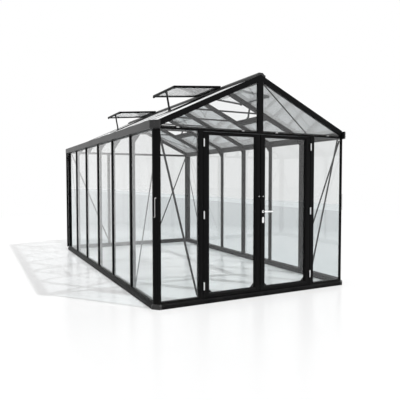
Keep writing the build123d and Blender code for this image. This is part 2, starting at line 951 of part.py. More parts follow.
def escutcheon(y0, y1):
    plane = Plane((lever_x, y1, lever_height - 95), x_dir=(1, 0, 0), z_dir=(0, -1, 0))
    return extrude(plane * SlotOverall(68, 26, rotation=90), y1 - y0)


def lever(sign):
    """Lever handle outside (sign -1) or inside (sign +1), with its neck."""
    face = outer_face if sign < 0 else inner_face
    near, far = sorted((face + sign * 0.5, face + sign * (lever_standoff + 2)))
    neck = disc(neck_radius, near, far)
    y0, y1 = sorted((face + sign * lever_standoff, face + sign * (lever_standoff + lever_thickness)))
    plane = Plane((lever_x, y1, lever_height), x_dir=(1, 0, 0), z_dir=(0, -1, 0))
    back = lever_width / 2
    grip = Pos((lever_reach - back) / 2, 0) * SlotOverall(lever_reach + back, lever_width)
    return neck + extrude(plane * grip, y1 - y0)


def door_hook():
    """Hold-back rod that hangs from a pin on the chamfer of the front left corner post."""
    x = -half_width + frame_inset + hook_along
    y = -half_length + frame_inset + post_chamfer - hook_along
    out = Vector(-0.70710678, -0.70710678)
    head = Vector(x, y, hook_top)
    hang = head + out * (hook_radius + 1)
    pin = extrude(Plane(head, z_dir=out) * Circle(hook_radius + 0.6), 22)
    low = hang - Vector(0, 0, hook_length)
    shaft = extrude(Plane(low) * Circle(hook_radius), hook_length)
    tip = extrude(Plane(low + Vector(0, 0, hook_radius), z_dir=out) * Circle(hook_radius - 0.6), 18)
    return pin + shaft + tip


def four(shape):
    """A shape of the front left corner, repeated at all four corners."""
    return [piece for side in both_sides(shape) for piece in both_ends(side)]


def build():
    os.makedirs("parts", exist_ok=True)
    inner_bars = range(1, bay_count)
    bays = range(bay_count)

    # base
    save("base_sills", *both_sides(side_sill()), mirror(end_sill(), about=Plane.XZ), *both_sides(front_sill()))
    save("door_threshold", threshold())
    save("base_corner_caps", *four(corner_cap()))

    # walls
    save("corner_posts", *four(corner_post()))
    save("wall_bars", *[p for i in inner_bars for p in both_sides(wall_bar(i))])
    save("wall_bar_caps", *[p for i in inner_bars for p in both_sides(wall_cap(i))])
    panes = [p for i in bays for p in both_sides(wall_pane(i))]
    save("wall_glass", *panes, *back_panes(), *both_sides(side_light()))
    save("back_mullions", mullion(-mullion_offset), mullion(mullion_offset))
    left_gutter, right_gutter = both_sides(gutter())
    save("left_gutter", left_gutter)
    save("right_gutter", right_gutter)
    save("gutter_ends", *four(gutter_end()))
    save("tie_beams", *both_ends(tie_beam()))
    save("king_posts", *both_ends(king_post()))
    save("gable_glass", *four(gable_pane()))

    # roof
    left_gable, right_gable = both_sides(gable_rafter())
    save("left_gable_rafters", *both_ends(left_gable))
    save("right_gable_rafters", *both_ends(right_gable))
    save("rafters", *[p for i in inner_bars for p in both_sides(rafter(i))])
    save("roof_bar_caps", *[p for i in inner_bars for p in both_sides(roof_cap(i))])
    save("roof_glass", *[p for i in bays for p in both_sides(roof_pane(i))])
    save("ridge_beam", ridge_beam())
    save("ridge_cap", ridge_cap())
    save("collar_ties", *[collar_tie(i) for i in inner_bars])
    save("knee_gussets", *[g for i in inner_bars for g in both_sides(knee_gusset(i))])

    # bracing
    foot = door_post_outer - 8
    backs = [mirror(b, about=Plane.XZ) for b in both_sides(end_brace(-mullion_offset))]
    save("wall_braces", *four(side_brace()), *both_sides(end_brace(-foot)), *backs)
    near = both_sides(roof_brace(-half_length + roof_brace_foot))
    far = [mirror(b, about=Plane.XZ) for b in both_sides(roof_brace(bar_lines[1]))]
    save("roof_braces", *near, *far)

    # roof vents
    rails, crosses, vent_panes, stays, sills = [], [], [], [], []
    for i in vent_bays:
        rails += [p for s in vent_side_rails(i) for p in both_sides(s)]
        crosses += [p for s in vent_cross_rails(i) for p in both_sides(s)]
        vent_panes += both_sides(vent_pane(i))
        sills += both_sides(vent_sill(i))
        stays += [vent_stay(i, -stay_offset), mirror(vent_stay(i, stay_offset), about=Plane.YZ)]
    save("vent_side_rails", *rails)
    save("vent_cross_rails", *crosses)
    save("vent_glass", *vent_panes)
    save("vent_stays", *stays)
    save("vent_sills", *sills)

    # doors
    save("door_posts", *both_sides(door_post()))
    leaf_hinges = {"left": [], "right": []}
    post_hinges = []
    for side, way in (("left", 1), ("right", -1)):
        for height in hinge_heights:
            fixed, moving = hinge_halves(-way * hinge_line, way, height)
            post_hinges.append(fixed)
            leaf_hinges[side].append(moving)
    save("post_hinges", *post_hinges)
    spindle_hole = disc(spindle_radius + 0.6, outer_face - 10, inner_face + 10)
    for side, (x0, x1) in (("left", left_leaf), ("right", right_leaf)):
        first, second, bottom, top = leaf_frame(x0, x1)
        if side == "left":
            second += cover(-1)
        else:
            first -= spindle_hole
        for plate in corner_plates(x0, x1):
            bottom += plate
        save(f"{side}_door_stiles", first, second)
        save(f"{side}_door_rails", bottom, top)
        save(f"{side}_door_glass", leaf_pane(x0, x1))
        save(f"{side}_door_hinges", *leaf_hinges[side])
    save("door_cover_strip", cover(1) - spindle_hole)
    save(
        "door_handle_plates",
        rose(outer_face - rose_thickness, outer_face),
        rose(inner_face, inner_face + rose_thickness),
        escutcheon(outer_face - rose_thickness, outer_face),
        escutcheon(inner_face, inner_face + rose_thickness),
    )
    spindle = disc(spindle_radius, outer_face - 10, inner_face + 10)
    save("door_levers", lever(-1) + lever(1) + spindle)
    save("door_hooks", *both_sides(door_hook()))


build()
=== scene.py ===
import bmesh
import bpy
from math import cos, pi, radians, sin
from mathutils import Matrix, Vector


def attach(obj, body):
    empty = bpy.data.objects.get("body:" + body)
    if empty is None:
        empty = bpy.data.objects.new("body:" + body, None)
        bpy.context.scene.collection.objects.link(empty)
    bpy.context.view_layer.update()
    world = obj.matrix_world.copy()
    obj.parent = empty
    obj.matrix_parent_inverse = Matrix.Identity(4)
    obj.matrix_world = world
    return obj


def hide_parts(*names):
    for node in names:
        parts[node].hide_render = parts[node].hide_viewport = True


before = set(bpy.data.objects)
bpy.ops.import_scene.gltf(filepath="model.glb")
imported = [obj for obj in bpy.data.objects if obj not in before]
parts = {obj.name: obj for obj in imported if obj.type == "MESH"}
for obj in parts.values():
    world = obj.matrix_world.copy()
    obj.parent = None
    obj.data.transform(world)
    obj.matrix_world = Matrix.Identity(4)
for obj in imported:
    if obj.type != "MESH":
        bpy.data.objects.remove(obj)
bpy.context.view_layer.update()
print("frame loaded with", len(parts), "pieces")

# camera, in metres and degrees
cameraView = {
    "place": (-2.8522, -6.4519, 1.2891),
    "turnDegrees": 26.751,
    "tiltDegrees": -2.395,
    "rollDegrees": -0.048,
    "lens": 40.422,
    "sensor": 36.0,
}


def setCamera(view):
    lens = bpy.data.cameras.new("viewCamera")
    lens.lens = view["lens"]
    lens.sensor_width = view["sensor"]
    camera = bpy.data.objects.new("viewCamera", lens)
    bpy.context.scene.collection.objects.link(camera)
    turn = Matrix.Rotation(-radians(view["turnDegrees"]), 4, "Z")
    tilt = Matrix.Rotation(radians(90 + view["tiltDegrees"]), 4, "X")
    roll = Matrix.Rotation(radians(view["rollDegrees"]), 4, "Z")
    camera.matrix_world = Matrix.Translation(view["place"]) @ turn @ tilt @ roll
    bpy.context.scene.camera = camera


setCamera(cameraView)
bpy.context.scene.view_settings.view_transform = "Standard"
print("camera set")


# small helpers for node trees
def addNode(tree, kind, inputs=None, **settings):
    node = tree.nodes.new(kind)
    for key, value in settings.items():
        setattr(node, key, value)
    for key, value in (inputs or {}).items():
        socket = node.inputs[key]
        if isinstance(value, bpy.types.NodeSocket):
            tree.links.new(value, socket)
        else:
            socket.default_value = value
    return node


def mathNode(tree, operation, first, second=0.5, clamp=False):
    inputs = {0: first, 1: second}
    return addNode(tree, "ShaderNodeMath", inputs, operation=operation, use_clamp=clamp).outputs[0]


def mapRange(tree, value, fromLow, fromHigh, toLow=0.0, toHigh=1.0):
    inputs = {"Value": value, "From Min": fromLow, "From Max": fromHigh, "To Min": toLow, "To Max": toHigh}
    return addNode(tree, "ShaderNodeMapRange", inputs).outputs[0]


def noise(tree, place, scale, detail, roughness=0.5):
    inputs = {"Vector": place, "Scale": scale, "Detail": detail, "Roughness": roughness}
    return addNode(tree, "ShaderNodeTexNoise", inputs).outputs[0]


def objectPlace(tree):
    return addNode(tree, "ShaderNodeTexCoord").outputs["Object"]


def mixColor(tree, factor, first, second):
    node = addNode(tree, "ShaderNodeMix", data_type="RGBA")
    for socket, value in ((node.inputs[0], factor), (node.inputs[6], first), (node.inputs[7], second)):
        if isinstance(value, bpy.types.NodeSocket):
            tree.links.new(value, socket)
        else:
            socket.default_value = value if isinstance(value, float) else (*value[:3], 1.0)
    return node.outputs[2]


def mixShader(tree, factor, first, second):
    return addNode(tree, "ShaderNodeMixShader", {0: factor, 1: first, 2: second}).outputs[0]


def newGroup(name, ins, outs):
    group = bpy.data.node_groups.new(name, "ShaderNodeTree")
    for label, value in ins.items():
        socket = group.interface.new_socket(name=label, in_out="INPUT", socket_type="NodeSocketFloat")
        socket.default_value = value
    for label, kind in outs.items():
        group.interface.new_socket(name=label, in_out="OUTPUT", socket_type=kind)
    return group, addNode(group, "NodeGroupInput"), addNode(group, "NodeGroupOutput")


def useGroup(tree, group, values):
    node = addNode(tree, "ShaderNodeGroup", node_tree=group)
    for label, value in values.items():
        node.inputs[label].default_value = value
    return node


# shared surface effects: a dictionary holds what all materials share, and the sockets what each one sets
rubbedEdges = {"samples": 4, "gain": 6.0, "patchDetail": 6.0, "patchRange": (0.5, 0.68)}


def makeEdgeWear(values):
    # rounded normal for catching light along edges, and a broken mask of rubbed edges
    group, given, out = newGroup(
        "edgeWear",
        {"Radius": 0.0012, "Amount": 0.5, "Break Up": 60.0},
        {"Mask": "NodeSocketFloat", "Normal": "NodeSocketVector"},
    )
    radius, samples = given.outputs["Radius"], values["samples"]
    rounded = addNode(group, "ShaderNodeBevel", {"Radius": radius}, samples=samples).outputs[0]
    flat = addNode(group, "ShaderNodeNewGeometry").outputs["Normal"]
    turned = addNode(group, "ShaderNodeVectorMath", {0: rounded, 1: flat}, operation="DOT_PRODUCT")
    edge = mathNode(group, "SUBTRACT", 1.0, turned.outputs["Value"])
    edge = mathNode(group, "MULTIPLY", edge, values["gain"], clamp=True)
    patches = noise(group, objectPlace(group), given.outputs["Break Up"], values["patchDetail"])
    mask = mathNode(group, "MULTIPLY", edge, mapRange(group, patches, *values["patchRange"]))
    mask = mathNode(group, "MULTIPLY", mask, given.outputs["Amount"])
    group.links.new(mask, out.inputs["Mask"])
    group.links.new(rounded, out.inputs["Normal"])
    return group


pebbledCoat = {"grainDetail": 3.0, "grainRoughness": 0.6, "driftDetail": 4.0}


def makeCoatGrain(values):
    # fine pebbled grain of a baked powder coat, with a slow drift in shade
    group, given, out = newGroup(
        "coatGrain",
        {"Grain Size": 900.0, "Drift Size": 3.0},
        {"Height": "NodeSocketFloat", "Drift": "NodeSocketFloat"},
    )
    place = objectPlace(group)
    grain = noise(
        group, place, given.outputs["Grain Size"], values["grainDetail"], values["grainRoughness"])
    drift = noise(group, place, given.outputs["Drift Size"], values["driftDetail"])
    group.links.new(grain, out.inputs["Height"])
    group.links.new(drift, out.inputs["Drift"])
    return group


thinDust = {
    "facingRange": (0.3, 1.0), "onTop": 0.6,
    "speckleSize": 14.0, "speckleDetail": 8.0, "speckleRoughness": 0.65, "speckleRange": (0.38, 0.72),
}


def makeSettledDust(values):
    # thin dust on what faces up, and splashes close to the ground
    group, given, out = newGroup(
        "settledDust", {"Amount": 0.3, "Splash Height": 0.12}, {"Mask": "NodeSocketFloat"},
    )
    normal = addNode(group, "ShaderNodeNewGeometry").outputs["Normal"]
    facing = addNode(group, "ShaderNodeSeparateXYZ", {0: normal}).outputs[2]
    place = objectPlace(group)
    height = addNode(group, "ShaderNodeSeparateXYZ", {0: place}).outputs[2]
    upward = mapRange(group, facing, *values["facingRange"], 0.0, values["onTop"])
    low = mathNode(group, "DIVIDE", height, given.outputs["Splash Height"])
    low = mathNode(group, "SUBTRACT", 1.0, low, clamp=True)
    speckle = noise(
        group, place, values["speckleSize"], values["speckleDetail"], values["speckleRoughness"])
    speckle = mapRange(group, speckle, *values["speckleRange"])
    mask = mathNode(group, "MULTIPLY", mathNode(group, "MAXIMUM", upward, low), speckle)
    mask = mathNode(group, "MULTIPLY", mask, given.outputs["Amount"], clamp=True)
    group.links.new(mask, out.inputs["Mask"])
    return group


drawnLines = {"lineDetail": 2.0, "toneSize": 20.0, "toneDetail": 3.0}


def makeBrushLines(values):
    # long fine lines left by drawing and polishing metal
    group, given, out = newGroup(
        "brushLines",
        {"Line Size": 700.0, "Stretch": 0.02},
        {"Height": "NodeSocketFloat", "Tone": "NodeSocketFloat"},
    )
    place = objectPlace(group)
    scale = addNode(group, "ShaderNodeCombineXYZ", {0: 1.0, 1: 1.0, 2: given.outputs["Stretch"]}).outputs[0]
    drawn = addNode(group, "ShaderNodeVectorMath", {0: place, 1: scale}, operation="MULTIPLY").outputs[0]
    lines = noise(group, drawn, given.outputs["Line Size"], values["lineDetail"])
    tone = noise(group, place, values["toneSize"], values["toneDetail"])
    group.links.new(lines, out.inputs["Height"])
    group.links.new(tone, out.inputs["Tone"])
    return group


edgeWear = makeEdgeWear(rubbedEdges)
coatGrain = makeCoatGrain(pebbledCoat)
settledDust = makeSettledDust(thinDust)
brushLines = makeBrushLines(drawnLines)
print("surface effects built")


# materials
def newMaterial(name):
    material = bpy.data.materials.new(name)
    material.use_nodes = True
    tree = material.node_tree
    tree.nodes.clear()
    return material, tree, addNode(tree, "ShaderNodeOutputMaterial")


def scaled(color, factor):
    return [c * factor for c in color]


def bumpNormal(tree, strength, distance, height, **inputs):
    inputs = {"Strength": strength, "Distance": distance, "Height": height, **inputs}
    return addNode(tree, "ShaderNodeBump", inputs).outputs[0]


# powder coats of the frame, of the thin braces and of the mouldings
frameCoat = {
    "color": (0.0026, 0.0026, 0.0028), "worn": (0.12, 0.12, 0.125), "dust": (0.26, 0.25, 0.23),
    "roughness": 0.42, "gloss": 0.07, "grain": 0.05, "grainSize": 900.0, "wear": 0.25, "dustAmount": 0.03,
}
braceCoat = {
    "color": (0.006, 0.006, 0.0065), "worn": (0.2, 0.2, 0.2), "dust": (0.26, 0.25, 0.23),
    "roughness": 0.4, "gloss": 0.12, "grain": 0.04, "grainSize": 700.0, "wear": 0.3, "dustAmount": 0.03,
}
trimCoat = {
    "color": (0.006, 0.006, 0.0065), "worn": (0.16, 0.16, 0.165), "dust": (0.3, 0.29, 0.27),
    "roughness": 0.42, "gloss": 0.5, "grain": 0.08, "grainSize": 600.0, "wear": 0.25, "dustAmount": 0.05,
}
# what the three coats share
coatDetail = {
    "edgeRadius": 0.0012, "wearPatches": 45.0, "driftSize": 2.5, "splashHeight": 0.14,
    "darker": 0.82, "lighter": 1.22, "roughDrift": 0.07, "dustRoughness": 0.4, "grainDepth": 0.0004,
}


def coatedMetal(name, coat, detail):
    material, tree, output = newMaterial(name)
    edges = useGroup(tree, edgeWear, {
        "Radius": detail["edgeRadius"], "Amount": coat["wear"], "Break Up": detail["wearPatches"]})
    grain = useGroup(tree, coatGrain, {"Grain Size": coat["grainSize"], "Drift Size": detail["driftSize"]})
    dust = useGroup(tree, settledDust, {
        "Amount": coat["dustAmount"], "Splash Height": detail["splashHeight"]}).outputs["Mask"]
    dark, light = scaled(coat["color"], detail["darker"]), scaled(coat["color"], detail["lighter"])
    shade = mixColor(tree, grain.outputs["Drift"], dark, light)
    shade = mixColor(tree, edges.outputs["Mask"], shade, coat["worn"])
    shade = mixColor(tree, dust, shade, coat["dust"])
    spread = detail["roughDrift"]
    rough = mapRange(
        tree, grain.outputs["Drift"], 0.0, 1.0, coat["roughness"] - spread, coat["roughness"] + spread)
    rough = mathNode(tree, "ADD", rough, mathNode(tree, "MULTIPLY", dust, detail["dustRoughness"]))
    normal = bumpNormal(
        tree, coat["grain"], detail["grainDepth"], grain.outputs["Height"], Normal=edges.outputs["Normal"])
    surface = addNode(
        tree, "ShaderNodeBsdfPrincipled",
        {"Base Color": shade, "Roughness": rough, "Specular IOR Level": coat["gloss"], "Normal": normal},
    )
    tree.links.new(surface.outputs[0], output.inputs[0])
    return material


# panes: tint seen, tint of the shadow, smears, clearness, waviness, and a painted sheen seen edge on, in
# place of the pane's glancing reflection
wallPane = {
    "tint": (0.876, 0.884, 0.884), "through": (0.86, 0.885, 0.89),
    "smear": 0.01, "clear": 1.0, "wave": 0.004, "paintedSheen": 0.0,
}
roofPane = {
    "tint": (0.655, 0.665, 0.667), "through": (0.86, 0.865, 0.87),
    "smear": 0.03, "clear": 0.8, "wave": 0.0, "paintedSheen": 0.85,
}
ventPane = {
    "tint": (0.92, 0.925, 0.93), "through": (0.86, 0.865, 0.87),
    "smear": 0.02, "clear": 0.95, "wave": 0.0, "paintedSheen": 0.0,
}
# what the three panes share
paneDetail = {
    "index": 1.5, "waveSize": 1.6, "waveDetail": 1.0, "waveDepth": 0.002,
    "smearSize": 9.0, "smearDetail": 7.0, "smearRoughness": 0.7, "smearRange": (0.55, 0.8),
    "paintedSheenBlend": 0.5, "paintedSheenRange": (0.91, 0.96),
    "paintedSheenColor": (0.95, 0.955, 0.96), "paintedSheenRoughness": 0.9, "paintedSheenGloss": 0.1,
}


def paneGlass(name, pane, detail):
    # clear float glass: tinted a little, and open to the lamps' straight light
    material, tree, output = newMaterial(name)
    place = objectPlace(tree)
    wave = noise(tree, place, detail["waveSize"], detail["waveDetail"])
    smear = noise(tree, place, detail["smearSize"], detail["smearDetail"], detail["smearRoughness"])
    smear = mapRange(tree, smear, *detail["smearRange"], 0.0, pane["smear"])
    glass = addNode(
        tree, "ShaderNodeBsdfPrincipled",
        {"Base Color": (*pane["tint"], 1.0), "Roughness": smear, "IOR": detail["index"],
         "Transmission Weight": pane["clear"],
         "Normal": bumpNormal(tree, pane["wave"], detail["waveDepth"], wave)},
    ).outputs[0]
    # a pale sheet is painted over the pane where it is seen almost edge on: a painted sheen that stands in
    # for the pane's glancing reflection
    facing = addNode(tree, "ShaderNodeLayerWeight", {"Blend": detail["paintedSheenBlend"]}).outputs["Facing"]
    pale = mapRange(tree, facing, *detail["paintedSheenRange"], 0.0, pane["paintedSheen"])
    paintedSheen = addNode(
        tree, "ShaderNodeBsdfPrincipled",
        {"Base Color": (*detail["paintedSheenColor"], 1.0), "Roughness": detail["paintedSheenRoughness"],
         "Specular IOR Level": detail["paintedSheenGloss"]},
    ).outputs[0]
    clear = addNode(tree, "ShaderNodeBsdfTransparent", {"Color": (*pane["through"], 1.0)}).outputs[0]
    shadow = addNode(tree, "ShaderNodeLightPath").outputs["Is Shadow Ray"]
    tree.links.new(mixShader(tree, shadow, mixShader(tree, pale, glass, paintedSheen), clear), output.inputs[0])
    return material


drawnAluminium = {"color": (0.82, 0.825, 0.83), "roughness": 0.38, "wear": 0.3, "lines": 0.12}
polishedChrome = {"color": (0.86, 0.865, 0.87), "roughness": 0.16, "wear": 0.1, "lines": 0.03}
zincSteel = {"color": (0.72, 0.725, 0.73), "roughness": 0.36, "wear": 0.2, "lines": 0.1}
# what the three bare metals share
metalDetail = {
    "edgeRadius": 0.0007, "wearPatches": 120.0, "lineSize": 700.0, "lineStretch": 0.03, "lineDepth": 0.0002,
    "darker": 0.86, "lighter": 1.1, "rubbed": (0.8, 0.8, 0.81), "smoother": 0.75, "rougher": 1.3,
}


def bareMetal(name, finish, detail):
    material, tree, output = newMaterial(name)
    edges = useGroup(tree, edgeWear, {
        "Radius": detail["edgeRadius"], "Amount": finish["wear"], "Break Up": detail["wearPatches"]})
    lines = useGroup(tree, brushLines, {"Line Size": detail["lineSize"], "Stretch": detail["lineStretch"]})
    dark, light = scaled(finish["color"], detail["darker"]), scaled(finish["color"], detail["lighter"])
    shade = mixColor(tree, lines.outputs["Tone"], dark, light)
    shade = mixColor(tree, edges.outputs["Mask"], shade, detail["rubbed"])
    smooth, rough = finish["roughness"] * detail["smoother"], finish["roughness"] * detail["rougher"]
    roughness = mapRange(tree, lines.outputs["Tone"], 0.0, 1.0, smooth, rough)
    normal = bumpNormal(
        tree, finish["lines"], detail["lineDepth"], lines.outputs["Height"], Normal=edges.outputs["Normal"])
    surface = addNode(
        tree, "ShaderNodeBsdfPrincipled",
        {"Base Color": shade, "Metallic": 1.0, "Roughness": roughness, "Normal": normal},
    )
    tree.links.new(surface.outputs[0], output.inputs[0])
    return material


sealRubber = {
    "color": (0.006, 0.006, 0.0062), "roughness": 0.72, "grainSize": 500.0, "driftSize": 8.0, "grain": 0.15,
    "grainDepth": 0.0003, "darker": 0.7, "lighter": 1.5, "roughDrift": 0.1, "gloss": 0.2,
}


def softRubber(name, finish):
    material, tree, output = newMaterial(name)
    grain = useGroup(tree, coatGrain, {"Grain Size": finish["grainSize"], "Drift Size": finish["driftSize"]})
    drift = grain.outputs["Drift"]
    dark, light = scaled(finish["color"], finish["darker"]), scaled(finish["color"], finish["lighter"])
    spread = finish["roughDrift"]
    rough = mapRange(tree, drift, 0.0, 1.0, finish["roughness"] - spread, finish["roughness"] + spread)
    surface = addNode(
        tree, "ShaderNodeBsdfPrincipled",
        {"Base Color": mixColor(tree, drift, dark, light), "Roughness": rough,
         "Specular IOR Level": finish["gloss"],
         "Normal": bumpNormal(tree, finish["grain"], finish["grainDepth"], grain.outputs["Height"])},
    )
    tree.links.new(surface.outputs[0], output.inputs[0])
    return material


blackFrame = coatedMetal("blackFrame", frameCoat, coatDetail)
blackBrace = coatedMetal("blackBrace", braceCoat, coatDetail)
greyTrim = coatedMetal("greyTrim", trimCoat, coatDetail)
wallGlass = paneGlass("wallGlass", wallPane, paneDetail)
roofGlass = paneGlass("roofGlass", roofPane, paneDetail)
ventGlass = paneGlass("ventGlass", ventPane, paneDetail)
hingeMetal = bareMetal("hingeMetal", drawnAluminium, metalDetail)
leverChrome = bareMetal("leverChrome", polishedChrome, metalDetail)
screwZinc = bareMetal("screwZinc", zincSteel, metalDetail)
rubberSeal = softRubber("rubberSeal", sealRubber)
print("materials built")

# finishes of the CAD pieces; those not named here take the frame's coat
pieceFinish = {
    "left_gutter": greyTrim, "right_gutter": greyTrim, "gutter_ends": greyTrim,
    "ridge_cap": greyTrim, "base_corner_caps": greyTrim,
    "wall_glass": wallGlass, "gable_glass": wallGlass,
    "left_door_glass": wallGlass, "right_door_glass": wallGlass,
    "roof_glass": roofGlass, "vent_glass": ventGlass,
    "post_hinges": hingeMetal, "left_door_hinges": hingeMetal, "right_door_hinges": hingeMetal,
    "door_handle_plates": leverChrome, "door_levers": leverChrome, "door_hooks": screwZinc,
    "vent_stays": blackBrace, "collar_ties": blackBrace, "knee_gussets": blackBrace,
    "wall_braces": blackBrace, "roof_braces": blackBrace,
}


def finishParts(finishes, usual):
    for name, part in parts.items():
        part.data.materials.clear()
        part.data.materials.append(finishes.get(name, usual))


finishParts(pieceFinish, blackFrame)
print("CAD pieces finished")

# where the frame stands, in metres, as the CAD model has it; the roof's pitch is 25 degrees
house = {
    "halfWidth": 1.274, "halfLength": 2.305, "eave": 1.869,
    "slope": 0.46631, "pitchSin": 0.4226, "pitchCos": 0.9063, "pitchStretch": 1.10338,
    "bars": (-1.5, -0.75, 0.0, 0.75, 1.5), "sillTop": 0.071, "beamBottom": 1.807, "tieBottom": 1.811,
    "doorPost": 0.765, "leafFoot": 0.057, "leafHead": 1.805, "doorFaces": (-2.290, -2.251),
}


def roofHeight(inset, depth=0.0):
    return house["eave"] + inset * house["slope"] - depth * house["pitchStretch"]


# tools that the small pieces are made with
def newPiece(name, shape, body, material, bevel=0.0, sharpDegrees=40):
    mesh = bpy.data.meshes.new(name)
    bmesh.ops.recalc_face_normals(shape, faces=shape.faces)
    shape.to_mesh(mesh)
    shape.free()
    mesh.materials.append(material)
    piece = bpy.data.objects.new(name, mesh)
    bpy.context.scene.collection.objects.link(piece)
    if bevel:
        soften = piece.modifiers.new("soften", "BEVEL")
        soften.width = bevel
        soften.segments = 2
        soften.limit_method = "ANGLE"
        soften.angle_limit = radians(sharpDegrees)
    mesh.shade_smooth()
    mesh.set_sharp_from_angle(angle=radians(sharpDegrees))
    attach(piece, body)
    return piece


def addRing(shape, places):
    return [shape.verts.new(place) for place in places]


def joinRings(shape, rings):
    # skin over a row of rings, closed at both ends
    count = len(rings[0])
    for low, high in zip(rings, rings[1:]):
        for i in range(count):
            j = (i + 1) % count
            shape.faces.new((low[i], low[j], high[j], high[i]))
    shape.faces.new(rings[0])
    shape.faces.new(rings[-1])


def sidewaysOf(axis):
    # two directions at right angles to an axis
    helper = Vector((0, 0, 1)) if abs(axis.z) < 0.9 else Vector((1, 0, 0))
    first = axis.cross(helper).normalized()
    return first, axis.cross(first).normalized()


def turnedShape(shape, centre, axis, profile, sides=20):
    # a lathe: profile is a list of (radius, height) along the axis; a third value makes that ring a hexagon
    centre, axis = Vector(centre), Vector(axis).normalized()
    first, second = sidewaysOf(axis)
    rings = []
    for station in profile:
        radius, height = station[0], station[1]
        ring = []
        for i in range(sides):
            angle = 2 * pi * i / sides
            reach = radius
            if len(station) > 2:
                local = (angle % (pi / 3)) - pi / 6
                reach = radius * cos(pi / 6) / cos(local)
            ring.append(centre + axis * height + (first * cos(angle) + second * sin(angle)) * reach)
        rings.append(addRing(shape, ring))
    joinRings(shape, rings)


boltHead = {"radius": 0.0072, "height": 0.0042, "washer": 0.0095, "washerHeight": 0.0012, "socket": 0.0031}
# shares of those sizes at the washer's edge and up the dome
boltShares = {
    "washerSide": 0.8, "washerTop": 0.96, "shoulder": (0.86, 0.75), "crown": 0.58, "side": 0.35, "sides": 18,
}


def addBolt(shape, place, outward, size=1.0):
    # domed head on a washer, with a hexagon socket
    head = {key: value * size for key, value in boltHead.items()}
    washer, radius, socket, low = head["washer"], head["radius"], head["socket"], head["washerHeight"]
    wide, high = boltShares["shoulder"]
    side, top = low + head["height"] * boltShares["side"], low + head["height"]
    turnedShape(shape, place, outward, [
        (washer, 0.0), (washer, low * boltShares["washerSide"]), (washer * boltShares["washerTop"], low),
        (radius, low), (radius, side), (radius * wide, low + head["height"] * high),
        (radius * boltShares["crown"], top), (socket, top, 1), (socket, side, 1),
    ], boltShares["sides"])


def addStrip(shape, start, end, outward, width, proud, steps=6):
    # half round strip from start to end, proud of the surface it lies on
    start, end, outward = Vector(start), Vector(end), Vector(outward).normalized()
    across = outward.cross((end - start).normalized())
    turns = [pi * i / steps for i in range(steps + 1)]
    joinRings(shape, [
        addRing(shape, [place + across * (cos(a) * width / 2) + outward * (sin(a) * proud) for a in turns])
        for place in (start, end)])


def addBlock(shape, low, high):
    rings = []
    for z in (low[2], high[2]):
        rings.append(addRing(shape, [
            (low[0], low[1], z), (high[0], low[1], z), (high[0], high[1], z), (low[0], high[1], z)]))
    joinRings(shape, rings)


# lever handles, one outside and one inside, on one spindle
leverHandle = {
    "x": 0.03344, "z": 0.95, "root": 0.0005, "rootRadius": 0.0078, "neckRadius": 0.0074, "neckEnd": 0.006,
    "standOff": 0.0385, "bend": 0.012, "reach": 0.110, "gripHeight": 0.0092, "gripDepth": 0.0058,
    "sag": 0.002, "squareness": 0.85, "sides": 24, "bendSteps": 6,
    "spindle": 0.0042, "spindleHalf": 0.019, "spindleSides": 12,
    # along the grip, and what its depth and its height are times there
    "grip": ((0.25, 1.0, 1.0), (0.5, 0.96, 1.02), (0.8, 0.92, 1.0), (0.93, 0.9, 0.97),
             (0.975, 0.8, 0.82), (0.995, 0.5, 0.55), (1.0, 0.2, 0.2)),
}


def addLever(shape, values, face, way):
    # neck out of the door, round bend, then the grip towards the hinge side
    reach, bend, out = values["reach"], values["bend"], values["standOff"]
    root, neck = values["rootRadius"], values["neckRadius"]
    depth, height = values["gripDepth"], values["gripHeight"]
    stations = [
        ((0.0, values["root"]), 0.0, root, root),
        ((0.0, out - bend - values["neckEnd"]), 0.0, neck, neck),
    ]
    for i in range(values["bendSteps"] + 1):
        grow = i / values["bendSteps"]
        angle = pi / 2 * i / values["bendSteps"]
        place = (bend - bend * cos(angle), out - bend + bend * sin(angle))
        stations.append((place, angle, neck + (depth - neck) * grow, neck + (height - neck) * grow))
    for along, thick, tall in values["grip"]:
        place = (bend + (reach - bend) * along, out + values["sag"] * sin(pi * along))
        stations.append((place, pi / 2, depth * thick, height * tall))
    upward = Vector((0, 0, 1))
    rings = []
    for (dx, dy), angle, deep, tall in stations:
        centre = Vector((values["x"] + dx, face + way * dy, values["z"]))
        across = Vector((cos(angle), -way * sin(angle), 0))
        ring = []
        for i in range(values["sides"]):
            turn = 2 * pi * i / values["sides"]
            a, b = cos(turn), sin(turn)
            a = abs(a) ** values["squareness"] * (1 if a > 0 else -1)
            b = abs(b) ** values["squareness"] * (1 if b > 0 else -1)
            ring.append(centre + across * (deep * a) + upward * (tall * b))
        rings.append(addRing(shape, ring))
    joinRings(shape, rings)


def makeLevers(values):
    shape = bmesh.new()
    outer, inner = house["doorFaces"]
    addLever(shape, values, outer, -1)
    addLever(shape, values, inner, 1)
    middle = (outer + inner) / 2
    spindle = [(values["spindle"], way * values["spindleHalf"]) for way in (-1, 1)]
    turnedShape(
        shape, (values["x"], middle, values["z"]), (0, 1, 0), spindle, values["spindleSides"])
    piece = newPiece("leverHandles", shape, "door_handle", leverChrome)
    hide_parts("door_levers")


makeLevers(leverHandle)

# key cylinders in the two lock plates: a round over a narrow tail, and a thin black block on its face as
# painted shade for the key's slot
keyCylinder = {
    "x": 0.03344, "z": 0.861, "plate": 0.006, "round": 0.0085, "tail": 0.0048, "drop": 0.0205, "meet": 0.6,
    "sunk": 0.001, "proud": 0.0025, "edge": 0.0006, "edgeShrink": 0.92, "roundSteps": 20, "tailSteps": 6,
    "slotHalf": 0.0009, "slotLow": 0.005, "slotHigh": 0.004, "slotDepth": 0.0003, "slotBevel": 0.0002,
}


